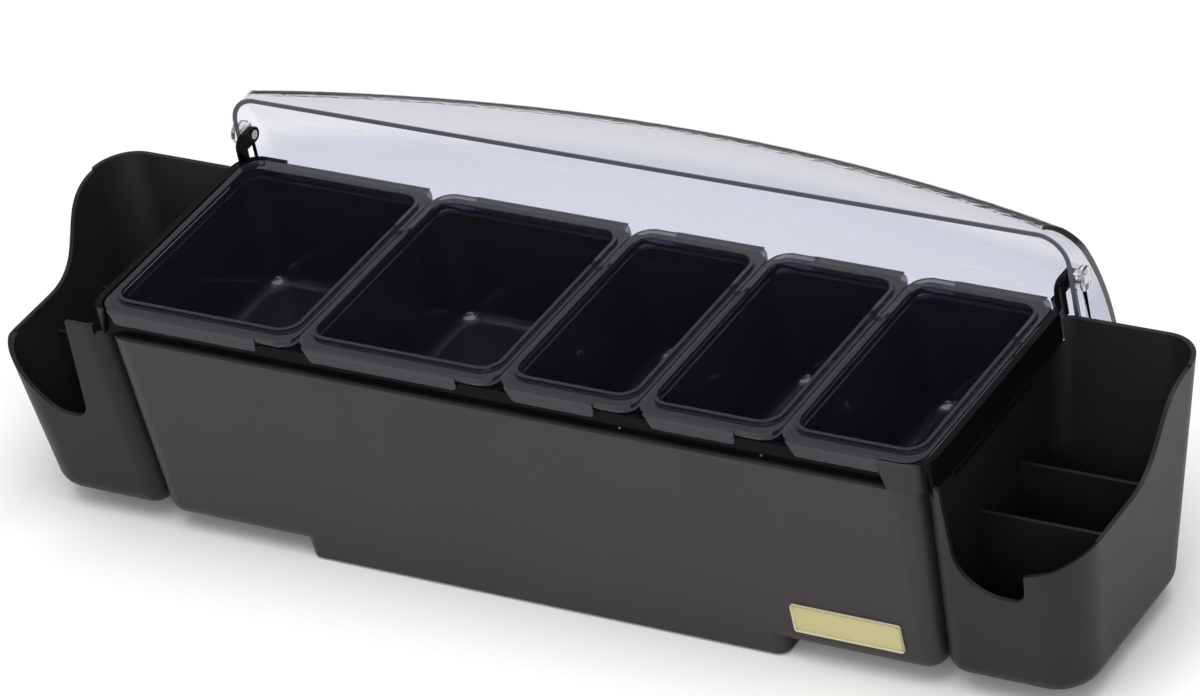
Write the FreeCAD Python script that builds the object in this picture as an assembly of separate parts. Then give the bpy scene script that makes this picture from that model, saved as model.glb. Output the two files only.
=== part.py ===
"""Countertop garnish tray: an ice trough with lift-out inserts, clip-on end caddies and a dome lid.

The lid turns on two pins behind the trough and slides on blocks that ride in slots in its end walls,
so that it can stand on edge, sunk behind the trough, as it is modelled here, or turn flat and slide
forward over the inserts. Millimetres, +Z up, front towards -Y. The pieces are drawn about the middle
of the trough and then moved back together, so that the origin is on the counter under the middle of
the whole tray with its lid stood behind it.
"""
import FreeCAD, Part
import os
from math import atan2, cos, pi, sin, sqrt

from FreeCAD import Vector

# Driving dimensions of the trough and its row of inserts
PINT_PITCH = 80.0
QUART_PITCH = 120.0
INSERT_DEPTH = 145.0
RIM_HEIGHT = 137.0
PLINTH_HEIGHT = 7.5
FOOT_STAND = 1.5
CUT_OVERRUN = 5.0
SAME_LEVEL = 0.0001

# Trough
RIM_END_REACH = 5.0
RIM_FRONT_REACH = 2.6
RIM_BAND = 15.7
SEAT_DROP = 5.3
BODY_END_INSET = 2.0
FRONT_LEAN_SHARE = 0.036
END_LEAN_SHARE = 0.079
FLOOR_WALL = 2.5
FRONT_WALL = 2.5
END_WALL = 2.5
LIP_END_WALL = 3.8
LIP_FRONT_WALL = 2.4
TOP_CORNER = 14.0
BASE_CORNER = 11.0
BASE_ROUND = 9.0
BAND_FACE_CLEARANCE = 0.4
LONG_LIP = 19.0
SHORT_LIP = 1.5
LIP_SLANT = 4.5
WELL_CORNER = 10.0
WELL_ROUND = 6.0
LEDGE_WIDTH = 2.6
PLINTH_END_INSET = 98.0
PLINTH_CORNER = 6.0
PLINTH_END_LEAN = 1.0

# Feet
FOOT_DIAMETER = 13.0
FOOT_SINK = 0.9
FOOT_EDGE = 0.6
FOOT_END_INSET = 12.0
FOOT_SIDE_INSET = 9.0

# Inserts
INSERT_GAP = 0.8
INSERT_BODY_DEPTH = 66.0
FLANGE_THICKNESS = 2.2
FLANGE_CORNER = 11.0
FLANGE_SETBACK = 0.6
SKIRT_INSET = 2.4
PAN_SIDE_INSET = 3.6
PAN_FRONT_INSET = 8.6
PAN_LEAN_SHARE = 0.09
PAN_WALL = 1.8
PAN_CORNER = 11.0
PAN_ROUND = 8.0
BEAD_HEIGHT = 1.6
BEAD_WIDTH = 2.4
TAB_NEAR = 6.4
TAB_FAR = 21.8
TAB_DROP = 8.0
TAB_THICKNESS = 2.0
TAB_SLANT = 4.0
TAB_CORNER = 2.5

# Caddies
CADDY_GAP = 0.6
CADDY_BASE_WIDTH = 76.0
CADDY_TOP_WIDTH = 86.0
CADDY_FRONT_SETBACK = 1.0
CADDY_REAR_SETBACK = 8.0
CADDY_REAR_LEAN = 17.0
CADDY_TOP_DROP = 4.0
CADDY_WALL = 2.4
CADDY_OUTER_CORNER = 22.0
CADDY_INNER_CORNER = 12.0
CADDY_ROUND = 11.0
CADDY_UNDER_RIM = 1.4
CADDY_EAR_DROP = 11.5
CADDY_EAR_LENGTH = 30.0
CADDY_EAR_STEP = 9.0
RIGHT_SCOOP_NEAR = 9.0
RIGHT_SCOOP_FAR = 45.0
RIGHT_SCOOP_LOW = 71.6
RIGHT_SCOOP_NEAR_ROUND = 24.0
RIGHT_SCOOP_FAR_ROUND = 8.0
RIGHT_STEP_OUT = 47.0
RIGHT_STEP_DROP = 55.0
RIGHT_EDGE_OUT = 62.0
RIGHT_EDGE_DROP = 50.0
LEFT_SCOOP_NEAR = 21.0
LEFT_SCOOP_NEAR_FOOT = 24.5
LEFT_SCOOP_FAR = 44.0
LEFT_SCOOP_LOW = 74.0
LEFT_SCOOP_NEAR_ROUND = 9.0
LEFT_SCOOP_FAR_ROUND = 16.0
LEFT_RAMP_OUT = 67.0
LEFT_RAMP_DROP = 52.0
SCOOP_END = 78.0
SCOOP_DEPTH = 24.0
SWOOP_LOW = 42.0
SWOOP_HIGH = 5.0
SWOOP_START_SHARE = 0.4
SWOOP_BEND_SHARE = 0.66
SWOOP_KNEE_SHARE = 0.58
SWOOP_END_SHARE = 0.84
DIVIDER_WALL = 2.0
DIVIDER_DROP = 60.0
DIVIDER_SHARES = (0.397, 0.756)
TONGUE_WIDTH = 14.0
TONGUE_HEIGHT = 3.4
TONGUE_CLEARANCE = 0.3
TONGUE_DROP = 42.0
TONGUE_SPREAD = 38.0

# Lid and its pins
LID_WALL = 2.5
LID_END_REACH = 7.5
LID_FRONT_REACH = 3.4
LID_REAR_REACH = 13.6
LID_EDGE_HEIGHT = 7.0
LID_ARCH_RISE = 31.0
LID_CROWN = 33.0
LID_EDGE_ROUND = 9.0
LID_FRONT_CORNER = 17.0
LID_CORNER_EASE = 0.08
LID_REAR_CORNER = 8.0
LID_STAND_GAP = 2.5
LID_OPEN_REACH = 27.0
LID_END_DROOP_SHARE = 0.2
LID_DROOP_POWER = 16
LID_SECTION_SHARES = (-1.02, -0.92, -0.7, -0.35, 0.0, 0.35, 0.7, 0.92, 1.02)
PIN_DIAMETER = 5.0
PIN_FROM_MOUTH = 6.0
PIN_ABOVE_RIM = 8.4
PIN_CLEARANCE = 0.05
BLOCK_HALF = 4.0
BLOCK_CLEARANCE = 0.25
BLOCK_SHOULDER = 0.6
BRACKET_PLATE = 3.0
BRACKET_NOSE = 4.2
BRACKET_STEM = 6.0
BRACKET_ROOT = 8.0
BRACKET_FOOT = 24.0
BRACKET_SETBACK = 14.0
BRACKET_GAP = 1.6
CAP_DIAMETER = 13.0
CAP_THICKNESS = 3.0
CAP_GAP = 0.3
CAP_ROUND = 1.0

# Sizes that follow from the ones above
ROW = 2 * QUART_PITCH + 3 * PINT_PITCH
ROW_HALF = ROW / 2
TAB_FACE = INSERT_DEPTH / 2
FLOOR_LEVEL = FOOT_STAND + PLINTH_HEIGHT
BAND_LEVEL = RIM_HEIGHT - RIM_BAND
SEAT_LEVEL = RIM_HEIGHT - SEAT_DROP
RIM_HALF_LENGTH = ROW_HALF + RIM_END_REACH
RIM_HALF_DEPTH = TAB_FACE + RIM_FRONT_REACH
BODY_HALF_LENGTH = ROW_HALF - BODY_END_INSET
BAND_FACE = TAB_FACE - TAB_THICKNESS - BAND_FACE_CLEARANCE
WELL_HALF_DEPTH = BAND_FACE - LEDGE_WIDTH
FLANGE_HALF_DEPTH = TAB_FACE - FLANGE_SETBACK
PIN_Y = TAB_FACE + LID_STAND_GAP + PIN_FROM_MOUTH
PIN_Z = RIM_HEIGHT + PIN_ABOVE_RIM
LID_HALF_LENGTH = ROW_HALF + LID_END_REACH
LID_DEPTH = PIN_Y + LID_REAR_REACH + TAB_FACE + LID_FRONT_REACH
CADDY_BASE = FLOOR_LEVEL
CADDY_TOP = RIM_HEIGHT - CADDY_TOP_DROP
CADDY_REAR_TOP = RIM_HALF_DEPTH - CADDY_REAR_SETBACK
UNDER_RIM_LEVEL = BAND_LEVEL - CADDY_UNDER_RIM
TONGUE_LENGTH = CADDY_GAP + END_WALL
BRACKET_INNER = LID_HALF_LENGTH - LID_WALL - BRACKET_GAP - BRACKET_PLATE
CAP_INNER = LID_HALF_LENGTH + BLOCK_SHOULDER + CAP_GAP
LID_REAR = TAB_FACE + LID_STAND_GAP + LID_EDGE_HEIGHT + LID_ARCH_RISE + LID_CROWN
MIDDLE_DEPTH = (LID_REAR - RIM_HALF_DEPTH) / 2

# The scoops' outlines: places out from the end of the row, with drops below the rim
RIGHT_SCOOP = (
    (RIGHT_SCOOP_NEAR, 0.0),
    (RIGHT_SCOOP_NEAR, RIGHT_SCOOP_LOW),
    (RIGHT_SCOOP_FAR, RIGHT_SCOOP_LOW),
    (RIGHT_STEP_OUT, RIGHT_STEP_DROP),
    (RIGHT_EDGE_OUT, RIGHT_EDGE_DROP),
    (SCOOP_END, SWOOP_LOW),
)
LEFT_SCOOP = (
    (LEFT_SCOOP_NEAR, 0.0),
    (LEFT_SCOOP_NEAR_FOOT, LEFT_SCOOP_LOW),
    (LEFT_SCOOP_FAR, LEFT_SCOOP_LOW),
    (LEFT_RAMP_OUT, LEFT_RAMP_DROP),
    (SCOOP_END, SWOOP_LOW),
)
RIGHT_SCOOP_ROUNDS = (RIGHT_SCOOP_NEAR_ROUND, RIGHT_SCOOP_FAR_ROUND)
LEFT_SCOOP_ROUNDS = (LEFT_SCOOP_NEAR_ROUND, LEFT_SCOOP_FAR_ROUND)


def half_depth(level):
    """Half the trough's outer depth at a height: front and rear walls lean in towards the floor."""
    return RIM_HALF_DEPTH - FRONT_LEAN_SHARE * (RIM_HEIGHT - level)


def half_length(level):
    """Half the trough body's outer length at a height, below the rim."""
    return BODY_HALF_LENGTH - END_LEAN_SHARE * (BAND_LEVEL - level)


def rounded_wire(x0, x1, y0, y1, level, radii):
    """A round-cornered rectangle at a height: front left, front right, rear right and rear left radii."""
    fl, fr, rr, rl = radii
    corners = [(x0, y0, fl, pi), (x1, y0, fr, 1.5 * pi), (x1, y1, rr, 0.0), (x0, y1, rl, 0.5 * pi)]
    inward = [(1, 1), (-1, 1), (-1, -1), (1, -1)]
    arcs = []
    for (x, y, r, start), (sx, sy) in zip(corners, inward):
        cx, cy = x + sx * r, y + sy * r
        turn = [start, start + pi / 4, start + pi / 2]
        arcs.append([Vector(cx + r * cos(a), cy + r * sin(a), level) for a in turn])
    edges = []
    for n, points in enumerate(arcs):
        edges.append(Part.Arc(*points).toShape())
        edges.append(Part.LineSegment(points[2], arcs[(n + 1) % 4][0]).toShape())
    return Part.Wire(edges)


def centred_wire(half_x, half_y, level, radius):
    """A round-cornered rectangle about the Z axis."""
    return rounded_wire(-half_x, half_x, -half_y, half_y, level, [radius] * 4)


def loft(*wires):
    """A solid with straight sides through the given wires."""
    return Part.makeLoft(list(wires), True, True)


def prism(points, direction):
    """A flat polygon pushed along a direction."""
    return Part.Face(Part.makePolygon(points + points[:1])).extrude(direction)


def box(x0, x1, y0, y1, z0, z1):
    """A block between two corners."""
    return Part.makeBox(x1 - x0, y1 - y0, z1 - z0, Vector(x0, y0, z0))


def edges_at(shape, level):
    """The edges of a shape that lie flat at a height."""
    flat = []
    for edge in shape.Edges:
        bounds = edge.BoundBox
        if abs(bounds.ZMin - level) < SAME_LEVEL and abs(bounds.ZMax - level) < SAME_LEVEL:
            flat.append(edge)
    return flat


def turned_half(shape):
    """A copy turned half a turn about the Z axis."""
    copy = shape.copy()
    copy.rotate(Vector(0, 0, 0), Vector(0, 0, 1), 180)
    return copy


def mirrored(shape):
    """A copy mirrored from the right end to the left."""
    return shape.mirror(Vector(0, 0, 0), Vector(1, 0, 0))


def lip_notch():
    """What is cut away along the front between the two corner lips: the band that the tabs hang over."""
    left, right = -ROW_HALF + SHORT_LIP, ROW_HALF - LONG_LIP
    low, high = BAND_LEVEL, RIM_HEIGHT + CUT_OVERRUN
    points = [
        Vector(left, -BAND_FACE, low),
        Vector(right, -BAND_FACE, low),
        Vector(right - LIP_SLANT, -BAND_FACE, high),
        Vector(left + LIP_SLANT, -BAND_FACE, high),
    ]
    return prism(points, Vector(0, BAND_FACE - RIM_HALF_DEPTH - CUT_OVERRUN, 0))


def pin_bracket():
    """The right-hand gooseneck that rises from the rim and carries the lid's pin."""
    x0 = BRACKET_INNER
    x1 = x0 + BRACKET_PLATE
    front = PIN_Y - BRACKET_SETBACK
    back = front + BRACKET_STEM
    top = PIN_Z + BRACKET_NOSE
    root = box(x0, x1, back - BRACKET_FOOT, back, RIM_HEIGHT - BRACKET_ROOT, RIM_HEIGHT)
    stem = box(x0, x1, front, back, RIM_HEIGHT - BRACKET_ROOT, top)
    neck = box(x0, x1, front, PIN_Y, PIN_Z - BRACKET_NOSE, top)
    nose = along_pin(x0, x1, BRACKET_NOSE)
    plate = root.fuse([stem, neck, nose]).removeSplitter()
    corner = []
    for edge in plate.Edges:
        bounds = edge.BoundBox
        if abs(bounds.YMax - front) < SAME_LEVEL and abs(bounds.ZMin - top) < SAME_LEVEL:
            corner.append(edge)
    plate = plate.makeFillet(BRACKET_STEM, corner)
    return plate.cut(along_pin(x0, x1, PIN_DIAMETER / 2))


def tongue_boxes(grow):
    """The right-hand caddy's two tongues, or the slots that they fit when grown by a clearance."""
    level = RIM_HEIGHT - TONGUE_DROP
    reach = half_length(level) + CADDY_GAP
    shapes = []
    for side in (-1, 1):
        y = side * TONGUE_SPREAD
        shapes.append(box(reach - TONGUE_LENGTH - grow, reach + CADDY_WALL + CADDY_GAP,
                          y - TONGUE_WIDTH / 2 - grow, y + TONGUE_WIDTH / 2 + grow,
                          level - TONGUE_HEIGHT - grow, level + grow))
    return shapes


def foot_places():
    """Where the four feet sit under the plinth, by name."""
    reach = ROW_HALF - PLINTH_END_INSET - PLINTH_END_LEAN - FOOT_END_INSET
    side = half_depth(FOOT_STAND) - FOOT_SIDE_INSET
    places = {}
    for front, y in (("front", -side), ("rear", side)):
        for end, x in (("left", -reach), ("right", reach)):
            places[f"foot_{front}_{end}"] = Vector(x, y, 0)
    return places


def foot(place):
    """A rubber disc, set into a shallow pocket in the plinth."""
    disc = Part.makeCylinder(FOOT_DIAMETER / 2, FOOT_STAND + FOOT_SINK, place)
    return disc.makeChamfer(FOOT_EDGE, edges_at(disc, 0.0))


def housing():
    """The moulded trough with its plinth, rim, corner lips, caddy slots and pin brackets."""
    floor_wire = centred_wire(half_length(FLOOR_LEVEL), half_depth(FLOOR_LEVEL), FLOOR_LEVEL, BASE_CORNER)
    band_wire = centred_wire(half_length(BAND_LEVEL), half_depth(BAND_LEVEL), BAND_LEVEL, TOP_CORNER)
    body = loft(floor_wire, band_wire)
    body = body.makeFillet(BASE_ROUND, edges_at(body, FLOOR_LEVEL))
    rim_low = centred_wire(RIM_HALF_LENGTH, half_depth(BAND_LEVEL), BAND_LEVEL, TOP_CORNER)
    rim_high = centred_wire(RIM_HALF_LENGTH, RIM_HALF_DEPTH, RIM_HEIGHT, TOP_CORNER)
    plinth_half = ROW_HALF - PLINTH_END_INSET
    plinth_top = FLOOR_LEVEL + BASE_ROUND
    plinth_low = centred_wire(plinth_half - PLINTH_END_LEAN, half_depth(FOOT_STAND), FOOT_STAND,
                              PLINTH_CORNER)
    plinth_high = centred_wire(plinth_half, half_depth(plinth_top), plinth_top, PLINTH_CORNER)
    shell = body.fuse([loft(rim_low, rim_high), loft(plinth_low, plinth_high)]).removeSplitter()

    well_floor = FLOOR_LEVEL + FLOOR_WALL
    well_low = centred_wire(half_length(FLOOR_LEVEL) - END_WALL, half_depth(FLOOR_LEVEL) - FRONT_WALL,
                            well_floor, WELL_CORNER)
    well_high = centred_wire(BODY_HALF_LENGTH - END_WALL / 2, WELL_HALF_DEPTH, RIM_HEIGHT, WELL_CORNER)
    well = loft(well_low, well_high)
    well = well.makeFillet(WELL_ROUND, edges_at(well, well_floor))
    sump_floor = FOOT_STAND + FLOOR_WALL
    sump_half = plinth_half - PLINTH_END_LEAN - END_WALL
    sump_low = centred_wire(sump_half, half_depth(FOOT_STAND) - FRONT_WALL, sump_floor, PLINTH_CORNER)
    sump_high = centred_wire(sump_half, half_depth(FLOOR_LEVEL) - FRONT_WALL, well_floor + WELL_ROUND,
                             PLINTH_CORNER)
    pocket_low = centred_wire(RIM_HALF_LENGTH - LIP_END_WALL, RIM_HALF_DEPTH - LIP_FRONT_WALL, SEAT_LEVEL,
                              TOP_CORNER - LIP_FRONT_WALL)
    pocket_high = centred_wire(RIM_HALF_LENGTH - LIP_END_WALL, RIM_HALF_DEPTH - LIP_FRONT_WALL,
                               RIM_HEIGHT + CUT_OVERRUN, TOP_CORNER - LIP_FRONT_WALL)
    notch = lip_notch()
    cuts = [well, loft(sump_low, sump_high), loft(pocket_low, pocket_high), notch, turned_half(notch)]
    for slot in tongue_boxes(TONGUE_CLEARANCE):
        cuts += [slot, mirrored(slot)]
    for place in foot_places().values():
        cuts.append(Part.makeCylinder(FOOT_DIAMETER / 2, FOOT_SINK, place + Vector(0, 0, FOOT_STAND)))
    shell = shell.cut(cuts)
    bracket = pin_bracket()
    return shell.fuse([bracket, mirrored(bracket)]).removeSplitter()


def tab(width):
    """The front tab of an insert about the Z axis: hangs from the flange over the trough's band."""
    left, right = -width / 2 + TAB_NEAR, width / 2 - TAB_FAR
    low = RIM_HEIGHT - TAB_DROP
    points = [
        Vector(left, -TAB_FACE, RIM_HEIGHT),
        Vector(left + TAB_SLANT, -TAB_FACE, low),
        Vector(right, -TAB_FACE, low),
        Vector(right, -TAB_FACE, RIM_HEIGHT),
    ]
    skin = prism(points, Vector(0, TAB_THICKNESS, 0))
    rounded = []
    for edge in skin.Edges:
        bounds = edge.BoundBox
        across = bounds.YLength > TAB_THICKNESS / 2
        if across and abs(bounds.ZMax - low) < SAME_LEVEL:
            rounded.append(edge)
    return skin.makeFillet(TAB_CORNER, rounded)


def insert(pitch):
    """One lift-out insert about the Z axis: drafted pan, flange with bead and skirt, two tabs."""
    width = pitch - INSERT_GAP
    half = width / 2
    under = RIM_HEIGHT - FLANGE_THICKNESS
    base = RIM_HEIGHT - INSERT_BODY_DEPTH
    flange = loft(centred_wire(half, FLANGE_HALF_DEPTH, under, FLANGE_CORNER),
                  centred_wire(half, FLANGE_HALF_DEPTH, RIM_HEIGHT, FLANGE_CORNER))
    skirt_corner = FLANGE_CORNER - SKIRT_INSET
    skirt_half = half - SKIRT_INSET
    skirt_depth = FLANGE_HALF_DEPTH - SKIRT_INSET
    skirt = loft(centred_wire(skirt_half, skirt_depth, SEAT_LEVEL, skirt_corner),
                 centred_wire(skirt_half, skirt_depth, under, skirt_corner))

    def pan_wire(level, wall):
        lean = PAN_LEAN_SHARE * (RIM_HEIGHT - level)
        return centred_wire(half - PAN_SIDE_INSET - lean - wall, TAB_FACE - PAN_FRONT_INSET - lean - wall,
                            level, PAN_CORNER - wall)

    pan = loft(pan_wire(base, 0.0), pan_wire(under, 0.0))
    pan = pan.makeFillet(PAN_ROUND, edges_at(pan, base))
    cavity = loft(pan_wire(base + PAN_WALL, PAN_WALL), pan_wire(RIM_HEIGHT + CUT_OVERRUN, PAN_WALL))
    cavity = cavity.makeFillet(PAN_ROUND - PAN_WALL, edges_at(cavity, base + PAN_WALL))
    bead = loft(pan_wire(RIM_HEIGHT, PAN_WALL - BEAD_WIDTH),
                pan_wire(RIM_HEIGHT + BEAD_HEIGHT, (PAN_WALL - BEAD_WIDTH) / 2))
    front = tab(width)
    whole = flange.fuse([skirt, pan, bead, front, turned_half(front)]).removeSplitter()
    return whole.cut(cavity)


def caddy_rear(level):
    """The caddy's rear face at a height: it leans forward towards the floor, more than the trough."""
    share = (level - CADDY_BASE) / (CADDY_TOP - CADDY_BASE)
    base = half_depth(CADDY_BASE) - CADDY_REAR_SETBACK - CADDY_REAR_LEAN
    return base + share * (CADDY_REAR_TOP - base)


def caddy_section(level, wall):
    """The right-hand caddy's outline at a height, drawn in by a wall."""
    share = (level - CADDY_BASE) / (CADDY_TOP - CADDY_BASE)
    near = half_length(level) + CADDY_GAP + wall
    base_far = half_length(CADDY_BASE) + CADDY_GAP + CADDY_BASE_WIDTH
    top_far = half_length(UNDER_RIM_LEVEL) + CADDY_GAP + CADDY_TOP_WIDTH
    far = base_far + share * (top_far - base_far) - wall
    front = -half_depth(level) + CADDY_FRONT_SETBACK + wall
    rear = caddy_rear(level) - wall
    small, large = CADDY_INNER_CORNER - wall, CADDY_OUTER_CORNER - wall
    return rounded_wire(near, far, front, rear, level, [small, large, large, small])


def scoop(outline, rounds):
    """The cut in a caddy's front wall: a low mouth whose outer side climbs to the outer wall's edge."""
    front = -RIM_HALF_DEPTH - CUT_OVERRUN
    top = RIM_HEIGHT + CUT_OVERRUN
    points = [Vector(ROW_HALF + out, front, RIM_HEIGHT - drop) for out, drop in outline]
    points = [Vector(points[0].x, front, top)] + points[1:] + [Vector(points[-1].x, front, top)]
    cut = prism(points, Vector(0, SCOOP_DEPTH + CUT_OVERRUN, 0))
    for corner, radius in zip(points[1:3], rounds):
        rounded = [edge for edge in cut.Edges
                   if edge.BoundBox.YLength > SCOOP_DEPTH / 2
                   and edge.CenterOfMass.sub(corner).cross(Vector(0, 1, 0)).Length < SAME_LEVEL]
        cut = cut.makeFillet(radius, rounded)
    return cut


def swoop():
    """The cut that drops a caddy's outer side: low along the front, rising in an S to the rear."""
    x0 = half_length(UNDER_RIM_LEVEL) + CADDY_BASE_WIDTH / 2
    front = -RIM_HALF_DEPTH - CUT_OVERRUN
    low, high, top = RIM_HEIGHT - SWOOP_LOW, RIM_HEIGHT - SWOOP_HIGH, RIM_HEIGHT + CUT_OVERRUN
    rear = CADDY_REAR_TOP - CADDY_OUTER_CORNER
    length = RIM_HALF_DEPTH + CADDY_REAR_TOP
    shares = (SWOOP_START_SHARE, SWOOP_BEND_SHARE, SWOOP_KNEE_SHARE, SWOOP_END_SHARE)
    start, bend, knee, end = [share * length - RIM_HALF_DEPTH for share in shares]
    curve = Part.BezierCurve()
    curve.setPoles([Vector(x0, start, low), Vector(x0, bend, low), Vector(x0, knee, high),
                    Vector(x0, end, high)])
    corners = [Vector(x0, end, high), Vector(x0, rear, high), Vector(x0, rear, top), Vector(x0, front, top),
               Vector(x0, front, low), Vector(x0, start, low)]
    edges = [curve.toShape()]
    for a, b in zip(corners, corners[1:]):
        edges.append(Part.LineSegment(a, b).toShape())
    return Part.Face(Part.Wire(edges)).extrude(Vector(CADDY_TOP_WIDTH, 0, 0))


def caddy(scoop_cut):
    """The right-hand caddy: a drafted box with scooped walls, two dividers and two tongues."""
    outer = loft(caddy_section(CADDY_BASE, 0.0), caddy_section(CADDY_TOP, 0.0))
    outer = outer.makeFillet(CADDY_ROUND, edges_at(outer, CADDY_BASE))
    inner_base = CADDY_BASE + CADDY_WALL
    inner = loft(caddy_section(inner_base, CADDY_WALL), caddy_section(CADDY_TOP + CUT_OVERRUN, CADDY_WALL))
    inner = inner.makeFillet(CADDY_ROUND - CADDY_WALL, edges_at(inner, inner_base))
    near = half_length(CADDY_BASE)
    far = near + CADDY_TOP_WIDTH + CADDY_BASE_WIDTH
    front = -half_depth(CADDY_BASE)
    slabs = []
    for share in DIVIDER_SHARES:
        place = front + share * (caddy_rear(CADDY_BASE) - front)
        slabs.append(box(near, far, place, place + DIVIDER_WALL, CADDY_BASE, RIM_HEIGHT - DIVIDER_DROP))
    dividers = Part.makeCompound(slabs).common(outer)
    shell = outer.cut(inner).fuse(dividers)
    rim_end = RIM_HALF_LENGTH + CADDY_GAP
    outside = -RIM_HALF_DEPTH - CUT_OVERRUN
    tops = RIM_HEIGHT + CUT_OVERRUN
    rear = CADDY_REAR_TOP
    cuts = [
        scoop_cut,
        swoop(),
        box(near, rim_end, outside, rear + CUT_OVERRUN, UNDER_RIM_LEVEL, tops),
        box(near, rim_end, -RIM_HALF_DEPTH + CADDY_EAR_LENGTH, rear - CADDY_EAR_LENGTH,
            UNDER_RIM_LEVEL - CADDY_EAR_STEP, tops),
        box(near, rim_end + SCOOP_DEPTH, outside, -RIM_HALF_DEPTH + SCOOP_DEPTH,
            RIM_HEIGHT - CADDY_EAR_DROP, tops),
    ]
    shell = shell.cut(cuts)
    return shell.fuse([piece.cut(inner) for piece in tongue_boxes(0.0)])


def lid_section(x, wall):
    """The lid's cross-section, mouth down, at a place along its length: walls, round edges and crown."""
    share = abs(x) / (LID_HALF_LENGTH - wall)
    droop = 1 - LID_END_DROOP_SHARE * share ** LID_DROOP_POWER
    half = LID_DEPTH / 2 - wall
    height = LID_EDGE_HEIGHT + LID_ARCH_RISE * (1 - share ** 2) - wall
    crown = LID_CROWN * droop
    edge_round = LID_EDGE_ROUND - wall
    top_radius = (half ** 2 + crown ** 2) / (2 * crown)
    top_centre = height + crown - top_radius
    side = half - edge_round
    rise = top_centre + sqrt((top_radius - edge_round) ** 2 - side ** 2)
    lean = atan2(rise - top_centre, side)

    def on_edge(angle, sign):
        return Vector(x, sign * (side + edge_round * cos(angle)), rise + edge_round * sin(angle))

    front_low, rear_low = Vector(x, -half, -LID_EDGE_HEIGHT), Vector(x, half, -LID_EDGE_HEIGHT)
    front_arc = [on_edge(0.0, -1), on_edge(lean / 2, -1), on_edge(lean, -1)]
    rear_arc = [on_edge(lean, 1), on_edge(lean / 2, 1), on_edge(0.0, 1)]
    top = Vector(x, 0, height + crown)
    return Part.Wire([
        Part.LineSegment(front_low, front_arc[0]).toShape(),
        Part.Arc(*front_arc).toShape(),
        Part.Arc(front_arc[2], top, rear_arc[0]).toShape(),
        Part.Arc(*rear_arc).toShape(),
        Part.LineSegment(rear_arc[2], rear_low).toShape(),
        Part.LineSegment(rear_low, front_low).toShape(),
    ])


def dome(wall, mouth):
    """The lid's outer form, or its hollow when drawn in by a wall, mouth down about the Z axis."""
    reach = LID_HALF_LENGTH - wall
    half = LID_DEPTH / 2 - wall + LID_CORNER_EASE
    barrel = Part.makeLoft([lid_section(share * reach, wall) for share in LID_SECTION_SHARES], True, False)
    front, rear = LID_FRONT_CORNER - wall, LID_REAR_CORNER - wall
    corners = [front, front, rear, rear]
    top = LID_EDGE_HEIGHT + LID_ARCH_RISE + LID_CROWN
    plan = loft(rounded_wire(-reach, reach, -half, half, mouth, corners),
                rounded_wire(-reach, reach, -half, half, top, corners))
    return barrel.common(plan)


def lid():
    """The dome lid with a slot in each end wall, stood on edge behind the trough."""
    half = LID_DEPTH / 2
    slide = BLOCK_HALF + BLOCK_CLEARANCE
    slot = box(LID_HALF_LENGTH - LID_WALL - CUT_OVERRUN, LID_HALF_LENGTH + CUT_OVERRUN,
               -half + LID_OPEN_REACH - slide, half - LID_REAR_REACH + slide,
               PIN_FROM_MOUTH - slide, PIN_FROM_MOUTH + slide)
    shell = dome(0.0, 0.0).cut([dome(LID_WALL, -LID_WALL), slot, mirrored(slot)])
    shell.rotate(Vector(0, 0, 0), Vector(1, 0, 0), -90)
    shell.translate(Vector(0, TAB_FACE + LID_STAND_GAP, PIN_Z + LID_OPEN_REACH - half))
    return shell


def along_pin(x0, x1, radius):
    """A round piece on the right-hand pin's axis."""
    return Part.makeCylinder(radius, x1 - x0, Vector(x0, PIN_Y, PIN_Z), Vector(1, 0, 0))


def hinge_pin():
    """The right-hand pin, pressed into its bracket and the cap."""
    return along_pin(BRACKET_INNER, CAP_INNER + CAP_THICKNESS, PIN_DIAMETER / 2)


def slider_block():
    """The right-hand block that turns on the pin and rides in the lid's slot."""
    block = box(LID_HALF_LENGTH - LID_WALL - BLOCK_SHOULDER, LID_HALF_LENGTH + BLOCK_SHOULDER,
                PIN_Y - BLOCK_HALF, PIN_Y + BLOCK_HALF, PIN_Z - BLOCK_HALF, PIN_Z + BLOCK_HALF)
    bore = along_pin(BRACKET_INNER, CAP_INNER, PIN_DIAMETER / 2 + PIN_CLEARANCE)
    return block.cut(bore)


def pin_cap():
    """The right-hand cap that keeps the lid's end wall on its block."""
    disc = along_pin(CAP_INNER, CAP_INNER + CAP_THICKNESS, CAP_DIAMETER / 2)
    rim = [edge for edge in disc.Edges if abs(edge.BoundBox.XMin - CAP_INNER - CAP_THICKNESS) < SAME_LEVEL]
    return disc.makeFillet(CAP_ROUND, rim).cut(hinge_pin())


def insert_row():
    """The five inserts in their places, by name."""
    row = [
        ("insert_quart_left", QUART_PITCH),
        ("insert_quart_right", QUART_PITCH),
        ("insert_pint_left", PINT_PITCH),
        ("insert_pint_middle", PINT_PITCH),
        ("insert_pint_right", PINT_PITCH),
    ]
    placed = {}
    x = -ROW_HALF
    for name, pitch in row:
        piece = insert(pitch)
        piece.translate(Vector(x + pitch / 2, 0, 0))
        placed[name] = piece
        x += pitch
    return placed


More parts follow.
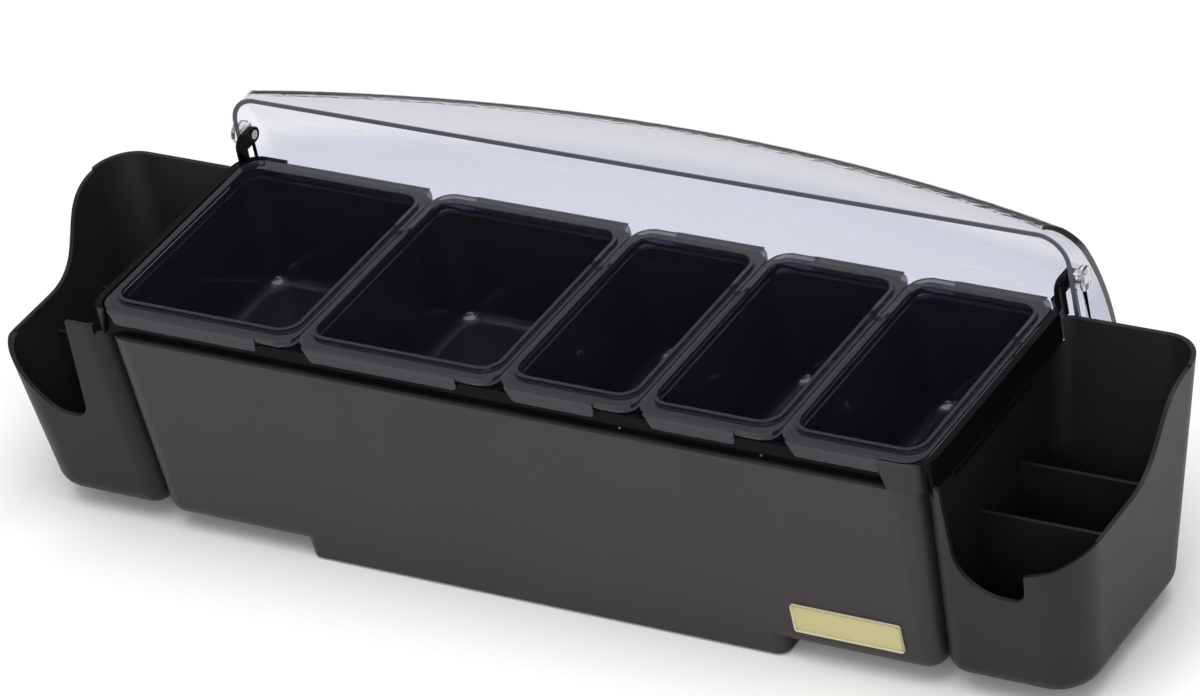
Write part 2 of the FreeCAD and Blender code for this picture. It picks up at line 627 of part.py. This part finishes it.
def build():
    """Every piece of the tray, by node name."""
    nodes = {"housing": housing(), "lid": lid()}
    nodes.update(insert_row())
    for name, place in foot_places().items():
        nodes[name] = foot(place)
    nodes["caddy_right"] = caddy(scoop(RIGHT_SCOOP, RIGHT_SCOOP_ROUNDS))
    nodes["caddy_left"] = mirrored(caddy(scoop(LEFT_SCOOP, LEFT_SCOOP_ROUNDS)))
    pairs = {"hinge_pin": hinge_pin(), "slider_block": slider_block(), "pin_cap": pin_cap()}
    for name, shape in pairs.items():
        nodes[f"{name}_right"] = shape
        nodes[f"{name}_left"] = mirrored(shape)
    for shape in nodes.values():
        shape.translate(Vector(0, -MIDDLE_DEPTH, 0))
    return nodes


os.makedirs("parts", exist_ok=True)
for node, shape in build().items():
    print(node, shape.isValid(), len(shape.Solids), round(shape.Volume))
    shape.exportStep(f"parts/{node}.step")
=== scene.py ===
"""The garnish tray's finishes, its bare label plate and rim pips, and a plain white studio round it."""

from math import atan, cos, radians, sin

import bpy
from mathutils import Matrix, Vector


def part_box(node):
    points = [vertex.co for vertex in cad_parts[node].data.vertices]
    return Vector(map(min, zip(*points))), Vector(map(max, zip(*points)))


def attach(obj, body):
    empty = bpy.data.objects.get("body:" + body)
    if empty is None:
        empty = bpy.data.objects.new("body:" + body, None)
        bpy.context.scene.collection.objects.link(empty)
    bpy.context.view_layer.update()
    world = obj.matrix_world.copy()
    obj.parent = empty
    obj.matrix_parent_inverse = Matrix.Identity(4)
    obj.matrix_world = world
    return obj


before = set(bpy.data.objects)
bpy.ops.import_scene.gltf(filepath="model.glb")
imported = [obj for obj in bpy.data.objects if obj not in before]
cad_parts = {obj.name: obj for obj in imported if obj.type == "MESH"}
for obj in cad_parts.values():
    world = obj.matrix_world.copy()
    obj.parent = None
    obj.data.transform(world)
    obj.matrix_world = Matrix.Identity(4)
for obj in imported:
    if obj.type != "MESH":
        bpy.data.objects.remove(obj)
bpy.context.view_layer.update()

# Camera, as fitted to the photograph: angles, distance and lens
VIEW_AZIMUTH = 37.54
VIEW_ELEVATION = 32.95
VIEW_ROLL = -12.07
VIEW_DISTANCE = 3.31656
VIEW_TARGET = Vector((0.0, -0.03045, 0.097))
VIEW_SIDEWAYS = 0.00692
VIEW_RAISED = 0.008243
VIEW_LENS = 199.33
SENSOR_WIDTH = 36.0
FARTHEST_SEEN = 50.0

# Studio: plain light from all round, and a wide floor
WORLD_LEVEL = 0.55
FLOOR_SIZE = 8.0

# Label plate on the front wall
PLATE_LEFT = 0.1505
PLATE_RIGHT = 0.212
PLATE_LOW = 0.0200
PLATE_HIGH = 0.0365
PLATE_THICKNESS = 0.0007
PLATE_CORNER = 0.0014
PLATE_BORDER = 0.0007
CORNER_STEPS = 6
FACING_FRONT = -0.9
SMOOTH_ANGLE = 30.0

# Pips on the rim band under the gaps between the narrow inserts
PIP_PLACES = (0.070, 0.150)
PIP_LEVEL = 0.1237
PIP_RADIUS = 0.0009

# The trough's front wall and its rim band, which is set back from the corner lips; the two shares set where
# the lips' painted sheen gives way to the band's painted shade
RIM_LEVEL = 0.137
BAND_LEVEL = 0.1213
BAND_SETBACK = 0.005
LIP_SHARE = 0.4
SUNK_SHARE = 0.8
WALL_LEAN = 0.036
POLISH_BELOW = 0.0004
POLISH_ABOVE = 0.0002

# The lid as it stands: levels between which its tint fades, with a slight waver, and its frosted mouth
TINT_FULL = 0.127
TINT_GONE = 0.141
TINT_WAVER = 0.004
EDGE_START = 0.0002
EDGE_DEPTH = 0.0009

# Colours of the plastics, each with the tone that it drifts to
TROUGH_BLACK = (0.018, 0.0138, 0.015, 1.0), (0.021, 0.0175, 0.0185, 1.0)
CADDY_BLACK = (0.009, 0.009, 0.0092, 1.0), (0.012, 0.0115, 0.0115, 1.0)
RUBBER_BLACK = (0.018, 0.018, 0.018, 1.0), (0.03, 0.03, 0.03, 1.0)
PIP_BLACK = (0.02, 0.02, 0.021, 1.0), (0.024, 0.024, 0.025, 1.0)
NATURAL_NYLON = (0.60, 0.60, 0.57, 1.0), (0.66, 0.65, 0.61, 1.0)

# Colours painted on the polished rim: paler on its lips as a painted sheen, and near black in its sunk
# band, its real gloss black darkened by painted shade under the insert tabs
LIP_PAINTED_SHEEN = (0.040, 0.039, 0.043, 1.0)
BAND_BLACK_PAINTED_SHADE = (0.004, 0.0036, 0.004, 1.0)

# Colours of the see-through plastics: in the depth of the material, and at its surface
INSERT_DEPTH_TINT = (0.28, 0.28, 0.34, 1.0)
INSERT_TONE = (0.41, 0.40, 0.52, 1.0)
LID_DEPTH_TINT = (0.35, 0.38, 0.50, 1.0)
LID_SMOKE = (0.78, 0.80, 0.88, 1.0)
LID_CLEAR = (0.985, 0.985, 0.99, 1.0)
LID_EDGE_GREY = (0.11, 0.11, 0.14, 1.0)
WHITE = (1.0, 1.0, 1.0, 1.0)
FLOOR_WHITE = (0.93, 0.93, 0.93, 1.0)

# Colours of the pins and of the label plate
STEEL_DARK = (0.50, 0.50, 0.50, 1.0)
STEEL_PALE = (0.62, 0.62, 0.61, 1.0)
PLATE_GOLD = (0.56, 0.49, 0.24, 1.0)
PLATE_DEEP_GOLD = (0.48, 0.42, 0.20, 1.0)
PLATE_EDGE = (0.62, 0.60, 0.44, 1.0)


class Value:
    """A node's output that Python's operators turn into further nodes."""

    def __init__(self, finish, socket):
        self.finish = finish
        self.socket = socket

    def joined(self, operation, first, second):
        """The result of one sum on two values."""
        return self.finish.add("ShaderNodeMath", {"operation": operation}, {0: first, 1: second})

    def __add__(self, other):
        return self.joined("ADD", self, other)

    def __rsub__(self, other):
        return self.joined("SUBTRACT", other, self)

    def __mul__(self, other):
        return self.joined("MULTIPLY", self, other)

    def __gt__(self, other):
        return self.joined("GREATER_THAN", self, other)


class Finish:
    """A procedural material: a Principled shader and the nodes that feed it."""

    def __init__(self, name, **constants):
        self.material = bpy.data.materials.new(name)
        self.material.use_nodes = True
        self.tree = self.material.node_tree
        self.shader = self.tree.nodes["Principled BSDF"]
        self.output = self.tree.nodes["Material Output"]
        self.place = self.add("ShaderNodeTexCoord", {}, {}, "Object")
        self.set(self.shader, constants)

    def add(self, kind, settings, sockets, output=0):
        """Adds a node, sets it, feeds its sockets and gives one of its outputs."""
        node = self.tree.nodes.new(kind)
        for name, setting in settings.items():
            setattr(node, name, setting)
        for name, value in sockets.items():
            self.feed(node.inputs[name], value)
        return Value(self, node.outputs[output])

    def feed(self, socket, value):
        """Links a value to a socket, or sets a plain number or colour on it."""
        if isinstance(value, Value):
            self.tree.links.new(value.socket, socket)
        else:
            socket.default_value = value

    def set(self, node, constants):
        """Feeds a shader's sockets by name, with spaces written as underscores."""
        for name, value in constants.items():
            self.feed(node.inputs[name.replace("_", " ")], value)

    def noise(self, scale, detail=3.0, roughness=0.55, stretch=None):
        """Noise on the object's own coordinates, from 0 to 1."""
        place = self.place
        if stretch:
            place = self.add("ShaderNodeMapping", {}, {"Vector": place, "Scale": stretch})
        return self.add("ShaderNodeTexNoise", {}, {
            "Vector": place, "Scale": scale, "Detail": detail, "Roughness": roughness})

    def axis(self, letter):
        """One of the object's own coordinates, in metres."""
        return self.add("ShaderNodeSeparateXYZ", {}, {"Vector": self.place}, letter)

    def range(self, value, low, high, to_low=0.0, to_high=1.0):
        """A value's place between two others, held within them and stretched to a new range."""
        return self.add("ShaderNodeMapRange", {"clamp": True}, {
            "Value": value, "From Min": low, "From Max": high, "To Min": to_low, "To Max": to_high})

    def mixed(self, share, first, second):
        """A colour between two others."""
        return self.add("ShaderNodeMix", {"data_type": "RGBA"}, {
            "Factor": share, 6: first, 7: second}, 2)

    def bump(self, height, strength, distance):
        """A normal that stands for a fine relief."""
        return self.add("ShaderNodeBump", {}, {
            "Height": height, "Strength": strength, "Distance": distance})

    def cover(self, share, **constants):
        """Lays a second shader over the first where the share is 1."""
        second = self.tree.nodes.new("ShaderNodeBsdfPrincipled")
        self.set(second, constants)
        blend = self.tree.nodes.new("ShaderNodeMixShader")
        self.feed(blend.inputs[0], share)
        self.tree.links.new(self.shader.outputs[0], blend.inputs[1])
        self.tree.links.new(second.outputs[0], blend.inputs[2])
        self.tree.links.new(blend.outputs[0], self.output.inputs["Surface"])


def moulded_plastic(name, colours, roughness, grain, sheen=0.5):
    """Satin moulded plastic: fine mould grain, and slow drifts of tone and gloss."""
    finish = Finish(name, IOR=1.5, Specular_IOR_Level=sheen)
    drift = finish.noise(9.0, 2.0)
    speck = finish.noise(900.0, 2.0)
    cloud = finish.noise(42.0, 4.0, 0.6)
    share = finish.range(drift * 0.6 + cloud * 0.4, 0.35, 0.65)
    gloss = cloud * 0.5 + speck * 0.5
    relief = finish.noise(2600.0, 2.0, 0.7)
    finish.set(finish.shader, {
        "Base_Color": finish.mixed(share, *colours),
        "Roughness": finish.range(gloss, 0.3, 0.7, roughness - 0.05, roughness + 0.05),
        "Normal": finish.bump(relief, grain, 0.0002),
    })
    return finish


def tinted_plastic(name, tint, density, roughness, clearness=1.0, tone=WHITE, ior=1.49):
    """See-through gloss plastic that darkens with the depth of material that is looked through."""
    finish = Finish(name, Transmission_Weight=clearness, IOR=ior, Base_Color=tone)
    haze = finish.noise(120.0, 3.0)
    flow = finish.noise(16.0, 2.0)
    finish.set(finish.shader, {
        "Roughness": finish.range(haze, 0.35, 0.7, roughness, roughness * 2),
        "Normal": finish.bump(flow, 0.05, 0.002),
    })
    depth = finish.tree.nodes.new("ShaderNodeVolumeAbsorption")
    depth.inputs["Color"].default_value = tint
    depth.inputs["Density"].default_value = density
    finish.tree.links.new(depth.outputs["Volume"], finish.output.inputs["Volume"])
    return finish


def lid_finish():
    """Clear plastic with a smoke tint that fades towards the front edge, and a frosted mouth."""
    finish = tinted_plastic("lid_clear", LID_DEPTH_TINT, density=45.0, roughness=0.02)
    level = finish.axis("Z") + finish.noise(30.0) * TINT_WAVER
    clear = finish.range(level, TINT_FULL, TINT_GONE)
    finish.set(finish.shader, {"Base_Color": finish.mixed(clear, LID_SMOKE, LID_CLEAR)})
    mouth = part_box("lid")[0].y
    edge = finish.range(finish.axis("Y"), mouth + EDGE_START, mouth + EDGE_DEPTH, 1.0, 0.0)
    finish.cover(edge, Base_Color=LID_EDGE_GREY, Roughness=0.5, Specular_IOR_Level=0.3)
    return finish


def trough_finish():
    """The trough's satin black, with the moulded rim polished: a painted sheen makes its lips paler, and
    painted shade under the insert tabs darkens its sunk band to near black.
    """
    finish = moulded_plastic("trough_satin_black", TROUGH_BLACK, roughness=0.46, grain=0.16, sheen=0.38)
    scuff = finish.noise(70.0, 4.0)
    above = finish.range(finish.axis("Z"), BAND_LEVEL - POLISH_BELOW, BAND_LEVEL + POLISH_ABOVE)
    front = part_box("housing")[0].y
    # Painted sheen on the front lips, giving way to painted shade over the sunk band and the rim behind it
    sunk = finish.range(
        finish.axis("Y"), front + BAND_SETBACK * LIP_SHARE, front + BAND_SETBACK * SUNK_SHARE)
    finish.cover(
        above, Base_Color=finish.mixed(sunk, LIP_PAINTED_SHEEN, BAND_BLACK_PAINTED_SHADE),
        Roughness=finish.range(scuff, 0.35, 0.7, 0.1, 0.17), IOR=1.42, Specular_IOR_Level=0.06)
    return finish


def steel_finish():
    """Ground steel for the pins."""
    finish = Finish("pin_ground_steel", Metallic=1.0)
    rings = finish.noise(700.0, 2.0, stretch=(6.0, 1.0, 1.0))
    finish.set(finish.shader, {
        "Base_Color": finish.mixed(rings, STEEL_DARK, STEEL_PALE),
        "Roughness": finish.range(rings, 0.3, 0.7, 0.2, 0.32),
    })
    return finish


def plate_finish():
    """The bare label: warm gold film with a paler border."""
    finish = Finish("label_cream", IOR=1.5)
    x = finish.axis("X")
    z = finish.axis("Z")
    inside = ((x > PLATE_LEFT + PLATE_BORDER) * (PLATE_RIGHT - PLATE_BORDER - x > 0.0)
              * (z > PLATE_LOW + PLATE_BORDER) * (PLATE_HIGH - PLATE_BORDER - z > 0.0))
    fibre = finish.noise(420.0, 4.0)
    film = finish.mixed(fibre, PLATE_GOLD, PLATE_DEEP_GOLD)
    finish.set(finish.shader, {
        "Base_Color": finish.mixed(inside, PLATE_EDGE, film),
        "Roughness": finish.range(fibre, 0.3, 0.7, 0.38, 0.5),
        "Normal": finish.bump(finish.noise(1800.0), 0.1, 0.0001),
    })
    return finish


def paint(finish, *nodes):
    """Gives the named pieces one finish."""
    for node in nodes:
        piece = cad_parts[node]
        piece.data.materials.clear()
        piece.data.materials.append(finish.material)


def label_plate():
    """A thin plate with round corners and a sunk panel, lying on the leaning front wall."""
    bpy.ops.object.select_all(action="DESELECT")
    bpy.ops.mesh.primitive_cube_add(size=1.0)
    plate = bpy.context.object
    plate.name = "front_label"
    bpy.ops.object.mode_set(mode="EDIT")
    bpy.ops.transform.resize(value=(PLATE_RIGHT - PLATE_LEFT, PLATE_THICKNESS, PLATE_HIGH - PLATE_LOW))
    bpy.ops.mesh.select_mode(type="EDGE")
    bpy.ops.object.mode_set(mode="OBJECT")
    points = plate.data.vertices
    for edge in plate.data.edges:
        start, end = [points[n].co for n in edge.vertices]
        edge.select = abs(start.y - end.y) > PLATE_THICKNESS / 2
    bpy.ops.object.mode_set(mode="EDIT")
    bpy.ops.mesh.bevel(offset=PLATE_CORNER, segments=CORNER_STEPS, affect="EDGES")
    bpy.ops.mesh.select_mode(type="FACE")
    bpy.ops.object.mode_set(mode="OBJECT")
    for face in plate.data.polygons:
        face.select = face.normal.y < FACING_FRONT
    bpy.ops.object.mode_set(mode="EDIT")
    bpy.ops.mesh.inset(thickness=PLATE_BORDER, depth=0.0)
    bpy.ops.mesh.inset(thickness=PLATE_THICKNESS / 2, depth=-PLATE_THICKNESS / 4)
    bpy.ops.object.mode_set(mode="OBJECT")
    middle = (PLATE_LOW + PLATE_HIGH) / 2
    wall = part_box("housing")[0].y + WALL_LEAN * (RIM_LEVEL - middle)
    plate.location = ((PLATE_LEFT + PLATE_RIGHT) / 2, wall - PLATE_THICKNESS / 2, middle)
    plate.rotation_euler = (atan(WALL_LEAN), 0.0, 0.0)
    bpy.ops.object.transform_apply(location=True, rotation=True, scale=True)
    bpy.ops.object.shade_smooth_by_angle(angle=radians(SMOOTH_ANGLE))
    plate.data.materials.append(plate_finish().material)
    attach(plate, "trough")


def band_pips(finish):
    """Small domes that stand out of the rim band's face."""
    for number, place in enumerate(PIP_PLACES, 1):
        bpy.ops.object.select_all(action="DESELECT")
        bpy.ops.mesh.primitive_uv_sphere_add(segments=24, ring_count=12, radius=PIP_RADIUS)
        pip = bpy.context.object
        pip.name = f"band_pip_{number}"
        pip.location = (place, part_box("housing")[0].y + BAND_SETBACK, PIP_LEVEL)
        bpy.ops.object.transform_apply(location=True, rotation=True, scale=True)
        bpy.ops.object.shade_smooth()
        pip.data.materials.append(finish.material)
        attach(pip, "trough")


def studio_floor():
    """A wide pale floor that keeps the tray's soft shadow."""
    bpy.ops.object.select_all(action="DESELECT")
    bpy.ops.mesh.primitive_plane_add(size=FLOOR_SIZE)
    floor = bpy.context.object
    floor.name = "studio_floor"
    finish = Finish("floor_white", Base_Color=FLOOR_WHITE, Roughness=0.9, Specular_IOR_Level=0.0)
    floor.data.materials.append(finish.material)


def studio_world():
    """White to the camera and through the clear plastic, and a plain level of light on the tray."""
    world = bpy.data.worlds.new("studio")
    bpy.context.scene.world = world
    world.use_nodes = True
    nodes = world.node_tree.nodes
    links = world.node_tree.links
    plain = nodes["Background"]
    plain.inputs["Color"].default_value = WHITE
    plain.inputs["Strength"].default_value = WORLD_LEVEL
    white = nodes.new("ShaderNodeBackground")
    white.inputs["Color"].default_value = WHITE
    white.inputs["Strength"].default_value = 1.0
    path = nodes.new("ShaderNodeLightPath")
    seen = nodes.new("ShaderNodeMath")
    seen.operation = "MAXIMUM"
    links.new(path.outputs["Is Camera Ray"], seen.inputs[0])
    links.new(path.outputs["Is Transmission Ray"], seen.inputs[1])
    blend = nodes.new("ShaderNodeMixShader")
    links.new(seen.outputs[0], blend.inputs[0])
    links.new(plain.outputs[0], blend.inputs[1])
    links.new(white.outputs[0], blend.inputs[2])
    links.new(blend.outputs[0], nodes["World Output"].inputs["Surface"])


def soft_lamp(name, place, aim, width, height, energy):
    """A large lamp that faces the tray."""
    bpy.ops.object.select_all(action="DESELECT")
    bpy.ops.object.light_add(type="AREA", location=place)
    lamp = bpy.context.object
    lamp.name = name
    lamp.data.shape = "RECTANGLE"
    lamp.data.size = width
    lamp.data.size_y = height
    lamp.data.energy = energy
    lamp.rotation_euler = (Vector(aim) - Vector(place)).to_track_quat("-Z", "Y").to_euler()


def photo_camera():
    """The photograph's camera: a long lens from the front right, above, turned about its own axis."""
    azimuth = radians(VIEW_AZIMUTH)
    elevation = radians(VIEW_ELEVATION)
    roll = radians(VIEW_ROLL)
    back = Vector((sin(azimuth) * cos(elevation), -cos(azimuth) * cos(elevation), sin(elevation)))
    level = Vector((cos(azimuth), sin(azimuth), 0.0))
    upright = back.cross(level)
    right = level * cos(roll) + upright * sin(roll)
    up = upright * cos(roll) - level * sin(roll)
    place = VIEW_TARGET + back * VIEW_DISTANCE + right * VIEW_SIDEWAYS + up * VIEW_RAISED
    data = bpy.data.cameras.new("photo_camera")
    data.lens = VIEW_LENS
    data.sensor_width = SENSOR_WIDTH
    data.clip_end = FARTHEST_SEEN
    camera = bpy.data.objects.new("photo_camera", data)
    turned = Matrix((right, up, back)).transposed().to_4x4()
    camera.matrix_world = Matrix.Translation(place) @ turned
    bpy.context.scene.collection.objects.link(camera)
    bpy.context.scene.camera = camera


inserts = [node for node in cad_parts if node.startswith("insert_")]
feet = [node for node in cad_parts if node.startswith("foot_")]
caddy_black = moulded_plastic("caddy_satin_black", CADDY_BLACK, roughness=0.46, grain=0.16, sheen=0.25)
insert_smoke = tinted_plastic(
    "insert_smoke", INSERT_DEPTH_TINT, density=350.0, roughness=0.03,
    clearness=0.978, tone=INSERT_TONE, ior=1.43)
foot_rubber = moulded_plastic("foot_rubber_black", RUBBER_BLACK, roughness=0.8, grain=0.4)
cap_clear = tinted_plastic("cap_clear", LID_DEPTH_TINT, density=45.0, roughness=0.03)
block_nylon = moulded_plastic("block_natural_nylon", NATURAL_NYLON, roughness=0.45, grain=0.1)
pip_black = moulded_plastic("pip_gloss_black", PIP_BLACK, roughness=0.14, grain=0.02, sheen=0.9)

paint(trough_finish(), "housing")
paint(caddy_black, "caddy_left", "caddy_right")
paint(insert_smoke, *inserts)
paint(lid_finish(), "lid")
paint(foot_rubber, *feet)
paint(cap_clear, "pin_cap_left", "pin_cap_right")
paint(block_nylon, "slider_block_left", "slider_block_right")
paint(steel_finish(), "hinge_pin_left", "hinge_pin_right")
label_plate()
band_pips(pip_black)

studio_floor()
studio_world()
soft_lamp(
    "overhead_softbox", place=(0.3, -0.2, 2.2), aim=(0.0, 0.0, 0.1),
    width=2.4, height=1.8, energy=40.0)
soft_lamp(
    "front_softbox", place=(1.2, -2.2, 1.2), aim=(0.0, 0.0, 0.08),
    width=1.6, height=1.2, energy=18.0)
photo_camera()
bpy.context.scene.view_settings.view_transform = "Standard"
